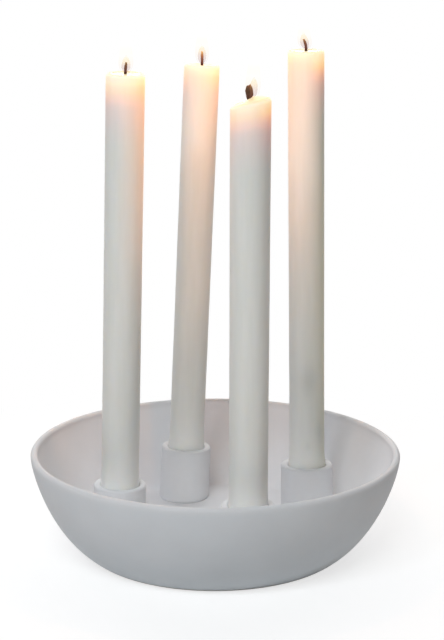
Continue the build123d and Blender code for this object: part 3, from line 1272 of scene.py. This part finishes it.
# %% Crust
CRUST_WIDTH = 4.7 * MM
CRUST_HEIGHT = 9.2 * MM
CRUST_SHIFT = 0.7 * MM  # how far it has grown to the side that the wick bends to
CRUST_NECK = 2.4  # how soon it has opened above its foot
CRUST_NECK_CURVE = 0.35
CRUST_DOME = 4  # how flat its top is
CRUST_LOW = 0.72  # share of its girth at the foot, and what is added on the way up
CRUST_WIDENING = 0.36
CRUST_LUMPS = ((0.16, 1.4, 4), (0.07, 4, 9))  # how high they are, and how close round and up the crust
CRUST_STEPS = 24
CRUST_SIDES = 28


def crust_girth(share):
    """The crust's radius at a share of its height: it opens, widens and closes in a dome."""
    opening = min(1, CRUST_NECK * share) ** CRUST_NECK_CURVE
    closing = (1 - share**CRUST_DOME) ** 0.5
    return CRUST_WIDTH / 2 * opening * closing * (CRUST_LOW + CRUST_WIDENING * share)


def crumbled(out, share):
    """How far the crust's broken surface stands out in a direction: coarse lumps with fine ones on them."""
    made = 1
    for size, close_round, close_up in CRUST_LUMPS:
        made += size * noise.noise(out * close_round + UP * share * close_up)
    return made


def crust_rings(stand, burning):
    """The crust as rings, from its foot to the wick's tip."""
    rings = []
    for k in range(1, CRUST_STEPS):
        share = k / CRUST_STEPS
        length = burning.wick * MM - CRUST_HEIGHT * (1 - share)
        point, across, over = wick_frame(stand, burning, length)
        bearings = [2 * pi * side / CRUST_SIDES for side in range(CRUST_SIDES)]
        ways = [across * cos(b) + over * sin(b) for b in bearings]
        middle = point + over * CRUST_SHIFT
        rings.append([middle + way * crust_girth(share) * crumbled(way, share) for way in ways])
    return rings


print("crust:", round(CRUST_HEIGHT / MM, 1), "mm tall")

# %% [markdown]
# ## The wicks
#
# Each wick is one object: a plain cord through the length of the candle, the braid from just below the
# dish up, and the crust where there is one. Braiding the whole cord would cost thousands of faces that
# nobody sees.

# %% Wicks
WICK_RADIUS = 1 * MM
CORD_SIDES = 24
CHAR_FADE = 1 * MM  # stretch below the dish over which the char begins

for name, stand in stands.items():
    row = burnings[name]
    base = wick_base(stand, row)
    cord_top = base - BRAID_DEPTH + WICK_RADIUS
    shells = [shell([circle(WICK_RADIUS, height, CORD_SIDES) for height in (0, 0.5 * cord_top, cord_top)])]
    shells += [shell(strand_rings(stand, row, number)) for number in range(BRAID_STRANDS)]
    if row.crust:
        shells.append(shell(crust_rings(stand, row)))
    wick = make_piece(f"wick_{name}_braid", shells, [charred_cotton], stand.place)
    paint(wick, "charred", lambda p: limited((p.z - base + CHAR_FADE) / CHAR_FADE))
    paint(wick, "ember", lambda p: row.ember * limited((p.z - base) / (row.wick * MM)))
    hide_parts(f"wick_{name}")
    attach(wick, f"candle_{name}")

# %% [markdown]
# ## Flame
#
# A flame isn't a thing but a zone of hot gas. Low round the wick it is dim and brownish, round the tip it
# is orange, and above that it is the pale yellow that gives the light, thinning out to a point. Before a
# white sheet only its lower part shows. Rendering gas as a volume is slow and noisy, so each flame is two
# nested shells, both nearly clear, whose colour and cover change with height.

# %% Flame finishes
FLAME_STRENGTH = 1.3  # bright enough to come out white
WICK_END = 0.3  # where the wick's tip is on the ramps
FLAME_BODY = (
    (0, (0.40, 0.17, 0.12, 0.03)),
    (0.2, (0.77, 0.46, 0.17, 0.05)),
    (WICK_END, (0.77, 0.60, 0.25, 0.06)),
    (0.42, (0.90, 0.80, 0.60, 0.05)),
    (0.6, (1, 0.94, 0.80, 0.35)),
    (0.8, (1, 0.95, 0.82, 0.4)),
    (1, (1, 0.96, 0.85, 0.1)),
)
FLAME_HEART = (
    (0, (0.33, 0.13, 0.12, 0)),
    (0.04, (0.33, 0.13, 0.12, 0.16)),
    (0.2, (0.40, 0.17, 0.12, 0.16)),
    (WICK_END, (0.77, 0.50, 0.17, 0.17)),
    (0.6, (0.77, 0.60, 0.17, 0.16)),
    (1, (0.77, 0.70, 0.38, 0)),
)


def flame_finish(name, stops):
    """Light with no surface: colour and cover follow the height in the shell."""
    no_surface = {"Base Color": BLACK, "Roughness": 1, "Specular IOR Level": 0}
    material, tree, shader = new_finish(name, no_surface | {"Emission Strength": FLAME_STRENGTH})
    zone = add_ramp(tree, stored(tree, "rise"), stops)
    tree.links.new(zone["Color"], shader.inputs["Emission Color"])
    tree.links.new(zone["Alpha"], shader.inputs["Alpha"])
    return material


flame_finishes = [flame_finish("Flame body", FLAME_BODY), flame_finish("Flame heart", FLAME_HEART)]
print("finishes:", [material.name for material in flame_finishes])

# %% [markdown]
# ## The flames' shape
#
# Both shells are teardrops on a line that leaves the wick's foot along the wick and then rises straight,
# as hot gas does. A sphere pulled to a point would look stiff, so level rings follow the line, widest low
# down.

# %% Flame shapes
FLAME_RADIUS = 4.2 * MM
FLAME_SIDES = 40
FLAME_STEPS = 36
FLAME_WIDEST = 0.3  # share of the height
FLAME_FOOT = 1.6 * MM  # how far above the dish the flame starts
FOOT_PULL = 0.8  # how long the line keeps to the wick, and then to the upright
PEAK_PULL = 0.4


def flame_line(foot, tip, end):
    """Points from a flame's foot past the wick's tip to the end of one of its shells."""
    handles = foot.lerp(tip, FOOT_PULL), tip.lerp(end, PEAK_PULL)
    return geometry.interpolate_bezier(foot, *handles, end, FLAME_STEPS)


def flame_rings(line, radius):
    """A teardrop of level rings along a line of points from its foot to its tip."""
    rings = []
    for k, point in enumerate(line[1:-1], 1):
        share = k / (len(line) - 1)
        body = (share / FLAME_WIDEST) ** 0.5
        taper = ((1 - share) / (1 - FLAME_WIDEST)) ** (0.5 * (1 - FLAME_WIDEST) / FLAME_WIDEST)
        rings.append([point + p for p in circle(radius * body * taper, 0, FLAME_SIDES)])
    return rings


def flame_zone(height, foot, tip, end):
    """Where a height is on a shell's ramp: 0 and 1 at the shell's ends, WICK_END at the wick's tip."""
    if height < tip:
        return WICK_END * (height - foot) / (tip - foot)
    return WICK_END + (1 - WICK_END) * (height - tip) / (end - tip)


print("a flame is", round(2 * FLAME_RADIUS / MM, 1), "mm wide")

# %% [markdown]
# ## The flames' light
#
# The shells give no light to the scene, because so small a glowing mesh would make a noisy picture. A
# small lamp inside each flame throws its warm light on the neighbours. A flame is tall and the wax
# spreads its light, so that light fades with distance, and not with its square as a point's would. The
# wax right under a flame has its painted glow, and the lamp spares it.

# %% Flame lamps
FLAME_WATTS = 1.48
FLAME_TINT = (1, 0.40, 0.124)
LAMP_SIZE = 0.8 * FLAME_RADIUS


def fade_slowly(lamp):
    """Let a lamp's light fade with the distance instead of the distance squared."""
    lamp.data.use_nodes = True
    tree = lamp.data.node_tree
    fade = add_node(tree, "LightFalloff", {"Strength": 1})
    tree.links.new(fade.outputs["Linear"], tree.nodes["Emission"].inputs["Strength"])


def spare_wax(lamp, candle):
    """Keep a flame's lamp off the wax right under it, which would turn plain white."""
    spared = bpy.data.collections.new(f"Spared by {lamp.name}")
    spared.objects.link(candle)
    spared.collection_objects[0].light_linking.link_state = "EXCLUDE"
    lamp.light_linking.receiver_collection = spared


def add_flame_lamp(name, flame, place, share):
    """A point lamp that belongs to a flame and moves with it."""
    label = f"Flame light {name}"
    lamp = bpy.data.objects.new(label, bpy.data.lights.new(label, "POINT"))
    lamp.data.energy = FLAME_WATTS * share
    lamp.data.color = FLAME_TINT
    lamp.data.shadow_soft_size = LAMP_SIZE
    lamp.visible_camera = False
    lamp.parent = flame
    lamp.location = place
    fade_slowly(lamp)
    spare_wax(lamp, bpy.data.objects[f"candle_{name}_wax"])
    scene.collection.objects.link(lamp)


print("a full flame has", FLAME_WATTS, "watts")

# %% [markdown]
# ## The flames
#
# Each flame stands on its own wick and rides with its candle. Flames could be kept out of the model as
# mere light, but a lit candle without one looks unfinished from every side.

# %% Flames
HEART_RISE = 4.5 * MM  # how far the heart stands above the wick's tip
HEART_WIDTH = 0.6  # of the flame's
LAMP_RISE = 0.3  # share of the way from the wick's tip to the flame's

for name, stand in stands.items():
    row = burnings[name]
    foot = stand.place @ wick_frame(stand, row, FLAME_FOOT)[0]
    tip = stand.place @ wick_frame(stand, row, row.wick * MM)[0]
    tip -= bearing_vector(row.bend_bearing).to_3d() * row.stray * MM
    peak = Vector((*tip.xy, (stand.place @ (UP * stand.top)).z + row.flame * MM))
    shells, zones = [], []
    for end, width in ((peak, 1), (tip + UP * HEART_RISE, HEART_WIDTH)):
        shells.append(shell(flame_rings(flame_line(foot, tip, end), FLAME_RADIUS * width)))
        zones += [flame_zone(p.z, foot.z, tip.z, end.z) for p in shells[-1][0]]
    flame = make_piece(f"flame_{name}", shells, flame_finishes)
    store(flame, "rise", zones)
    flame.visible_shadow = False
    flame.visible_diffuse = False
    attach(flame, f"candle_{name}")
    add_flame_lamp(name, flame, tip.lerp(peak, LAMP_RISE), row.light)
